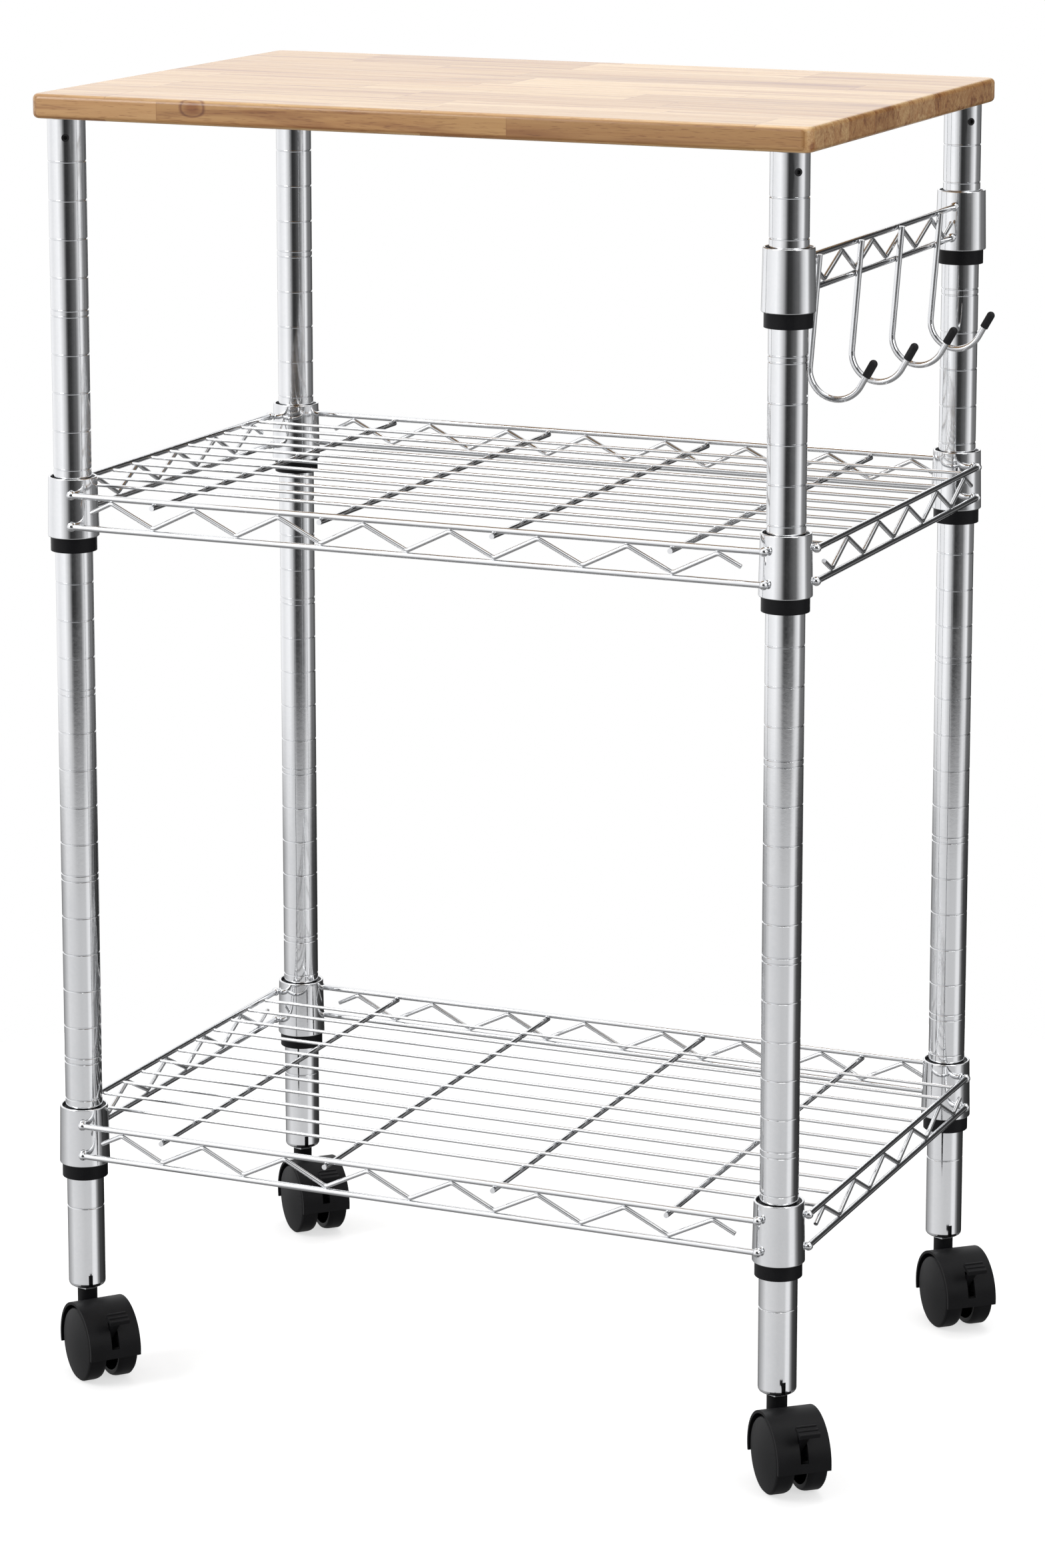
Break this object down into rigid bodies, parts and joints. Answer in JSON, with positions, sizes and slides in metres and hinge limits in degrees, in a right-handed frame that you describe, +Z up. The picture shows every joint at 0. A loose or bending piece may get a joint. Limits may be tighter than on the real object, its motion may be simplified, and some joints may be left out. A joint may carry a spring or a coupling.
{
  "type": "kitchen island cart",
  "caption": "Rolling kitchen island cart: wooden worktop on grooved chrome posts, two wire shelves, a side hook rail and twin-wheel casters with brakes.",
  "frame": {"origin": "on the floor, under the middle of the bounding box with the casters as drawn", "axes": "+Z up, +X toward the hook-rail end (right), +Y toward the back"},
  "size_m": [0.5704, 0.4032, 0.8708],
  "materials": {
    "butcher_block": "satin oiled rubberwood staves",
    "chrome_tube": "polished chrome plate",
    "chrome_wire": "polished chrome plate",
    "black_plastic": "matt moulded plastic",
    "soft_cap": "satin dipped vinyl",
    "zinc_steel": "bright zinc plate",
    "black_steel": "black oxide",
    "caster_plastic": "fine-grained moulded nylon",
    "wheel_plastic": "satin moulded nylon"
  },
  "bodies": {
    "cart": {"worktop": "butcher_block", "post_front_left": "chrome_tube", "post_front_right": "chrome_tube", "post_back_left": "chrome_tube", "post_back_right": "chrome_tube", "top_plugs": "black_plastic", "wood_screws": "zinc_steel", "set_screws": "black_steel", "foot_inserts": "black_plastic", "lower_shelf_collars": "chrome_tube", "lower_shelf_sleeves": "black_plastic", "lower_shelf_front_back_rails": "chrome_wire", "lower_shelf_side_rails": "chrome_wire", "lower_shelf_front_back_zigzags": "chrome_wire", "lower_shelf_side_zigzags": "chrome_wire", "lower_shelf_cross_wires": "chrome_wire", "lower_shelf_deck_wires": "chrome_wire", "middle_shelf_collars": "chrome_tube", "middle_shelf_sleeves": "black_plastic", "middle_shelf_front_back_rails": "chrome_wire", "middle_shelf_side_rails": "chrome_wire", "middle_shelf_front_back_zigzags": "chrome_wire", "middle_shelf_side_zigzags": "chrome_wire", "middle_shelf_cross_wires": "chrome_wire", "middle_shelf_deck_wires": "chrome_wire", "hook_rail_collars": "chrome_tube", "hook_rail_sleeves": "black_plastic", "hook_rail_wires": "chrome_wire", "hook_rail_zigzag": "chrome_wire", "hook_1": "chrome_wire", "hook_2": "chrome_wire", "hook_3": "chrome_wire", "hook_4": "chrome_wire", "hook_tips": "soft_cap", "front_left_stem": "zinc_steel", "front_right_stem": "zinc_steel", "back_left_stem": "zinc_steel", "back_right_stem": "zinc_steel"},
    "front_left_caster": {"front_left_housing": "caster_plastic", "front_left_axle": "zinc_steel"},
    "front_left_wheel_a": {"front_left_wheel_a": "wheel_plastic"},
    "front_left_wheel_b": {"front_left_wheel_b": "wheel_plastic"},
    "front_left_brake": {"front_left_brake_lever": "caster_plastic"},
    "front_right_caster": {"front_right_housing": "caster_plastic", "front_right_axle": "zinc_steel"},
    "front_right_wheel_a": {"front_right_wheel_a": "wheel_plastic"},
    "front_right_wheel_b": {"front_right_wheel_b": "wheel_plastic"},
    "front_right_brake": {"front_right_brake_lever": "caster_plastic"},
    "back_left_caster": {"back_left_housing": "caster_plastic", "back_left_axle": "zinc_steel"},
    "back_left_wheel_a": {"back_left_wheel_a": "wheel_plastic"},
    "back_left_wheel_b": {"back_left_wheel_b": "wheel_plastic"},
    "back_left_brake": {"back_left_brake_lever": "caster_plastic"},
    "back_right_caster": {"back_right_housing": "caster_plastic", "back_right_axle": "zinc_steel"},
    "back_right_wheel_a": {"back_right_wheel_a": "wheel_plastic"},
    "back_right_wheel_b": {"back_right_wheel_b": "wheel_plastic"},
    "back_right_brake": {"back_right_brake_lever": "caster_plastic"}
  },
  "joints": [
    {"name": "front_left_swivel", "type": "hinge", "parent": "cart", "child": "front_left_caster", "pos_m": [-0.26448, -0.15111, 0.05], "axis": [0, 0, 1], "continuous": true},
    {"name": "front_left_wheel_a_spin", "type": "hinge", "parent": "front_left_caster", "child": "front_left_wheel_a", "pos_m": [-0.24686, -0.16589, 0.025], "axis": [0.6428, 0.766, 0], "continuous": true},
    {"name": "front_left_wheel_b_spin", "type": "hinge", "parent": "front_left_caster", "child": "front_left_wheel_b", "pos_m": [-0.24686, -0.16589, 0.025], "axis": [0.6428, 0.766, 0], "continuous": true},
    {"name": "front_left_brake_press", "type": "hinge", "parent": "front_left_caster", "child": "front_left_brake", "pos_m": [-0.23644, -0.17463, 0.0313], "axis": [0.6428, 0.766, 0], "range_deg": [0, 18]},
    {"name": "front_right_swivel", "type": "hinge", "parent": "cart", "child": "front_right_caster", "pos_m": [0.23752, -0.15111, 0.05], "axis": [0, 0, 1], "continuous": true},
    {"name": "front_right_wheel_a_spin", "type": "hinge", "parent": "front_right_caster", "child": "front_right_wheel_a", "pos_m": [0.25261, -0.16847, 0.025], "axis": [0.7547, 0.6561, 0], "continuous": true},
    {"name": "front_right_wheel_b_spin", "type": "hinge", "parent": "front_right_caster", "child": "front_right_wheel_b", "pos_m": [0.25261, -0.16847, 0.025], "axis": [0.7547, 0.6561, 0], "continuous": true},
    {"name": "front_right_brake_press", "type": "hinge", "parent": "front_right_caster", "child": "front_right_brake", "pos_m": [0.26154, -0.17873, 0.0313], "axis": [0.7547, 0.6561, 0], "range_deg": [0, 18]},
    {"name": "back_left_swivel", "type": "hinge", "parent": "cart", "child": "back_left_caster", "pos_m": [-0.26448, 0.18089, 0.05], "axis": [0, 0, 1], "continuous": true},
    {"name": "back_left_wheel_a_spin", "type": "hinge", "parent": "back_left_caster", "child": "back_left_wheel_a", "pos_m": [-0.24793, 0.16492, 0.025], "axis": [0.6947, 0.7193, 0], "continuous": true},
    {"name": "back_left_wheel_b_spin", "type": "hinge", "parent": "back_left_caster", "child": "back_left_wheel_b", "pos_m": [-0.24793, 0.16492, 0.025], "axis": [0.6947, 0.7193, 0], "continuous": true},
    {"name": "back_left_brake_press", "type": "hinge", "parent": "back_left_caster", "child": "back_left_brake", "pos_m": [-0.23815, 0.15547, 0.0313], "axis": [0.6947, 0.7193, 0], "range_deg": [0, 18]},
    {"name": "back_right_swivel", "type": "hinge", "parent": "cart", "child": "back_right_caster", "pos_m": [0.23752, 0.18089, 0.05], "axis": [0, 0, 1], "continuous": true},
    {"name": "back_right_wheel_a_spin", "type": "hinge", "parent": "back_right_caster", "child": "back_right_wheel_a", "pos_m": [0.25292, 0.1638, 0.025], "axis": [0.7431, 0.6691, 0], "continuous": true},
    {"name": "back_right_wheel_b_spin", "type": "hinge", "parent": "back_right_caster", "child": "back_right_wheel_b", "pos_m": [0.25292, 0.1638, 0.025], "axis": [0.7431, 0.6691, 0], "continuous": true},
    {"name": "back_right_brake_press", "type": "hinge", "parent": "back_right_caster", "child": "back_right_brake", "pos_m": [0.26201, 0.15369, 0.0313], "axis": [0.7431, 0.6691, 0], "range_deg": [0, 18]}
  ]
}
